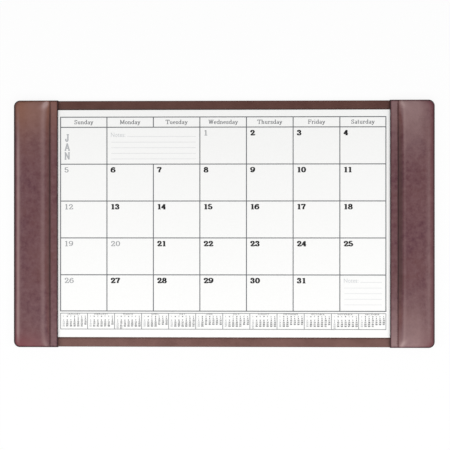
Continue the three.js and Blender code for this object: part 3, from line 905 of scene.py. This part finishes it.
def cross_section(pad, along):
    """Points across the rail, from the hidden edge of the inner fold to the outline."""
    roll = min(edge_roll, 0.44 * (pad_surface(edge_roll, along, pad)[0] - fold_level))
    quarter = [pi / 2 * k / roll_steps for k in range(roll_steps + 1)]
    points = [(13 * mm, fold_level, 0.0, 0.0)]
    # The rolled inner fold is painted in full shade.
    points += [
        (roll * (1 - sin(a)), fold_level + roll * (1 - cos(a)), -1.0, 0.0) for a in quarter
    ]
    inner = [roll * (1 - cos(a)) for a in quarter]
    inner += [band_width * k / 7 for k in range(1, 6)]
    inner += [band_width + d * mm for d in (-3, -2, -1.3, -0.7, -0.2, 0.3, 0.8, 1.4, 2.1, 3, 4)]
    inner += [band_width + d * mm for d in (5, 6.2, 7.4, 8.6, 9.8, 11, 12.4, 14, 16, 18.5, 21, 24, 28)]
    outline = rail_outline(along)
    steps = 9
    shoulder = [outer_shoulder * (1 - sin(pi / 2 * (1 - k / steps))) for k in range(steps, -1, -1)]
    outer = [outline - d for d in (34 * mm, 27 * mm, 21 * mm)] + [outline - d for d in shoulder]
    for across in inner + outer:
        height, painted_light_and_shade, cast = pad_surface(across, along, pad)
        turned = roll - sqrt(max(roll**2 - max(roll - across, 0) ** 2, 0))
        points.append((across, height - turned, painted_light_and_shade, cast))
    return points


def outline_inset(across, along, inset):
    """Moves a point of the outline inwards, square to it."""
    off_across = max(across - (rail_width - corner_radius), 0)
    off_along = max(abs(along) - (half_depth - corner_radius), 0) * (1 if along > 0 else -1)
    off = Vector((off_across, off_along))
    return Vector((across, along)) - off + off.normalized() * (off.length - inset)


end_rows = [0, 0.15, 0.5, 1.0, 1.6, 2.3, 3.2, 4.4, 5.8, 7.5, 9.5, 12, 15]
far_row = end_rows[-1] * mm
row_places = [half_depth - d * mm for d in end_rows]
middle_rows = [
    (half_depth - far_row) * (1 - 2 * k / row_count) for k in range(1, row_count)
]
row_places = row_places + middle_rows + [-y for y in reversed(row_places)]
row_places = list(reversed(row_places))

hide_leather, hide_shader = start_material("padded_brown_leather", 0.45, 0.22)
mottle = pattern(hide_leather, "ShaderNodeTexNoise", 13, Detail=5.0, Roughness=0.6)
flecks = pattern(hide_leather, "ShaderNodeTexNoise", 95, Detail=6.0, Roughness=0.7)
pores = pattern(hide_leather, "ShaderNodeTexVoronoi", 850, Randomness=1.0)
wrinkles = pattern(hide_leather, "ShaderNodeTexNoise", 420, Detail=6.0, Roughness=0.6, Distortion=0.6)
dyed = two_tone(hide_leather, mottle.outputs["Fac"], colour(84, 45, 55), colour(99, 61, 62), 0.38, 0.62)
flecked = blend_colours(
    hide_leather, spread(hide_leather, flecks.outputs["Fac"], -1.1, 2.1), dyed, colour(111, 77, 80)
)


def share_of(attribute, at_full, most):
    """How far a point's value goes from 0 towards its full value, up to a share."""
    value = add_node(hide_leather, "ShaderNodeAttribute", attribute_name=attribute)
    share = add_node(hide_leather, "ShaderNodeMapRange", {"Value": value.outputs["Fac"]})
    share.inputs["From Max"].default_value = at_full
    share.inputs["To Max"].default_value = most
    return share.outputs["Result"]


browner = blend_colours(hide_leather, share_of("cast", 1, 0.85), flecked, colour(136, 90, 66))
wine = blend_colours(hide_leather, share_of("cast", -1, 0.8), browner, colour(116, 50, 60))
# Painted highlights and sheen blend the hide towards a pale colour, painted shade towards a near-black one.
with_painted_highlight = blend_colours(hide_leather, share_of("painted_light_and_shade", 1, 0.85), wine, colour(176, 149, 147))
with_painted_shade = blend_colours(hide_leather, share_of("painted_light_and_shade", -1, 0.98), with_painted_highlight, colour(36, 12, 15))
join(hide_leather, with_painted_shade, hide_shader.inputs["Base Color"])
hide_gloss = spread(hide_leather, flecks.outputs["Fac"], 0.38, 0.56)
join(hide_leather, hide_gloss, hide_shader.inputs["Roughness"])
raise_surface(hide_leather, hide_shader, pores.outputs["Distance"], 0.00035, 0.6)
raise_surface(hide_leather, hide_shader, wrinkles.outputs["Fac"], 0.0005, 0.5)

stuffing_pressure = 4.0
swell_steps = 20
swell_limit = 1.2 * mm
fold_tuck = 1.6 * mm


def let_swell(skin_bm, held, most):
    """Lets stuffing push a skin out as cloth, held at its seams, and keeps the shape it takes."""
    mesh = bpy.data.meshes.new("skin")
    skin_bm.to_mesh(mesh)
    skin = bpy.data.objects.new("skin", mesh)
    bpy.context.scene.collection.objects.link(skin)
    skin.vertex_groups.new(name="held").add(held, 1.0, "REPLACE")
    cloth = skin.modifiers.new("cloth", "CLOTH")
    cloth.settings.vertex_group_mass = "held"
    cloth.settings.quality = 6
    cloth.settings.mass = 0.002
    cloth.settings.tension_stiffness = 30
    cloth.settings.compression_stiffness = 30
    cloth.settings.shear_stiffness = 12
    cloth.settings.bending_stiffness = 0.6
    cloth.settings.use_pressure = True
    cloth.settings.uniform_pressure_force = stuffing_pressure
    cloth.settings.effector_weights.gravity = 0
    cloth.collision_settings.use_collision = False
    for step in range(1, swell_steps + 1):
        bpy.context.scene.frame_set(step)
    swollen = skin.evaluated_get(bpy.context.evaluated_depsgraph_get()).data
    moves = [after.co - vert.co for vert, after in zip(skin_bm.verts, swollen.vertices)]
    for vert, move in zip(skin_bm.verts, moves):
        vert.co += move * min(most / max(move.length, 1e-9), 1)
    bpy.context.scene.frame_set(1)
    bpy.data.objects.remove(skin)
    bpy.data.meshes.remove(mesh)


for side, pad in stuffing.items():
    sections = [cross_section(pad, along) for along in row_places]
    column_count = len(sections[0])
    first_top = 1 + roll_steps
    hide_bm = bmesh.new()
    painted_light_and_shade_layer = hide_bm.verts.layers.float.new("painted_light_and_shade")
    cast_layer = hide_bm.verts.layers.float.new("cast")
    bmesh.ops.create_grid(
        hide_bm, x_segments=column_count - 1, y_segments=len(row_places) - 1, size=0.5
    )
    rim = set()
    for vert in hide_bm.verts:
        column = round((vert.co.x + 0.5) * (column_count - 1))
        row = round((vert.co.y + 0.5) * (len(row_places) - 1))
        across, height, painted_light_and_shade, cast = sections[row][column]
        tuck = max(1 - column / first_top, 0) * fold_tuck
        along = row_places[row] * (1 - tuck / half_depth)
        vert.co = Vector((across, along, height))
        vert[painted_light_and_shade_layer] = painted_light_and_shade
        vert[cast_layer] = cast
        at_end = row in (0, len(row_places) - 1) and column >= first_top
        if at_end or column == column_count - 1:
            rim.add(vert)
    held = []
    hide_bm.verts.index_update()
    for vert in hide_bm.verts:
        across, along = vert.co.x, vert.co.y
        edge = min(rail_outline(along) - across, rail_end(across) - abs(along))
        if across < band_width + 1.5 * mm or edge < 2 * mm:
            held.append(vert.index)
    let_swell(hide_bm, held, swell_limit)
    edges = [e for e in hide_bm.edges if e.is_boundary and set(e.verts) <= rim]
    drop = ((0, 5.5), (0, 2.4), (0.2, 1.7), (0.6, 1.3), (1.2, under_level / mm), (11.2, under_level / mm))
    for inset, level_mm in drop:
        wall = bmesh.ops.extrude_edge_only(hide_bm, edges=edges)["geom"]
        edges = [g for g in wall if isinstance(g, bmesh.types.BMEdge)]
        for vert in [g for g in wall if isinstance(g, bmesh.types.BMVert)]:
            moved = outline_inset(vert.co.x, vert.co.y, inset * mm)
            vert.co = Vector((moved.x, moved.y, level_mm * mm))
            # The turned-down walls are painted in shade, with a wine cast.
            vert[painted_light_and_shade_layer] = -0.55
            vert[cast_layer] = -0.3
    for vert in hide_bm.verts:
        vert.co.x = (rail_low.x + vert.co.x) * (1 if side == "right" else -1)
    bmesh.ops.recalc_face_normals(hide_bm, faces=hide_bm.faces)
    top_face = max(hide_bm.faces, key=lambda f: f.calc_center_median().z)
    if top_face.normal.z < 0:
        bmesh.ops.reverse_faces(hide_bm, faces=hide_bm.faces)
    thicken(hide_bm, hide)
    hide_piece = make_piece(f"{side}_rail_hide", hide_bm, hide_leather)
    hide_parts(f"{side}_rail_leather", f"{side}_rail_padding")
    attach(hide_piece, "root")

# Rail lining: a thin, smooth leatherette skin under each rail's stiffener, the
# roof of the pocket that the sheets slide into. The card strips that close the
# pocket's two ends are wrapped in the same skin.
lining, lining_shader = start_material("dark_lining", 0.6, 0.3)
lining_grain = pattern(lining, "ShaderNodeTexNoise", 380, Detail=5.0)
lining_colour = two_tone(lining, lining_grain.outputs["Fac"], colour(46, 30, 28), colour(62, 42, 39))
join(lining, lining_colour, lining_shader.inputs["Base Color"])
raise_surface(lining, lining_shader, lining_grain.outputs["Fac"], 0.0002)
for side in stuffing:
    for place in ("lining", "front_spacer", "back_spacer"):
        dress(f"{side}_rail_{place}", lining)

# Stitches: waxed thread along each crease, in even stitches that dip into the
# hide at both ends.
stitch_pitch = 4.8 * mm
stitch_length = 3.6 * mm
thread_width = 0.9 * mm
beside_crease = 1.9 * mm
stitch_end = 7 * mm

thread, thread_shader = start_material("waxed_thread", 0.55, 0.4)
twist = add_node(thread, "ShaderNodeTexCoord")
strands = add_node(
    thread,
    "ShaderNodeTexWave",
    {"Vector": twist.outputs["Object"], "Scale": 700.0, "Distortion": 0.5},
    bands_direction="DIAGONAL",
)
thread_colour = two_tone(thread, strands.outputs["Fac"], colour(76, 47, 46), colour(102, 70, 67), 0.2, 0.8)
join(thread, thread_colour, thread_shader.inputs["Base Color"])
raise_surface(thread, thread_shader, strands.outputs["Fac"], 0.0001)

for side, pad in stuffing.items():
    stitch_bm = bmesh.new()
    count = int((2 * half_depth - 2 * stitch_end) / stitch_pitch)
    for number in range(count + 1):
        along = (number - count / 2) * stitch_pitch
        level = pad_surface(band_width - beside_crease, along, pad)[0] + 0.12 * mm
        made = bmesh.ops.create_uvsphere(
            stitch_bm, u_segments=8, v_segments=7, radius=thread_width / 2
        )
        for vert in made["verts"]:
            reach = copysign((stitch_length - thread_width) / 2, -vert.co.z) - vert.co.z
            dip = 0.25 * mm * (2 * reach / stitch_length) ** 2
            vert.co = Vector((vert.co.x, reach, vert.co.y - dip))
        place = Matrix.Translation((rail_low.x + band_width - beside_crease, along, level))
        slant = Matrix.Rotation(radians(7), 4, "Z")
        bmesh.ops.transform(stitch_bm, matrix=place @ slant, verts=made["verts"])
    if side == "left":
        bmesh.ops.scale(stitch_bm, vec=(-1, 1, 1), verts=stitch_bm.verts)
        bmesh.ops.reverse_faces(stitch_bm, faces=stitch_bm.faces)
    stitches = make_piece(f"{side}_rail_stitches", stitch_bm, thread)
    stitches.data.shade_smooth()
    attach(stitches, "root")

bpy.context.scene.view_settings.view_transform = "Standard"
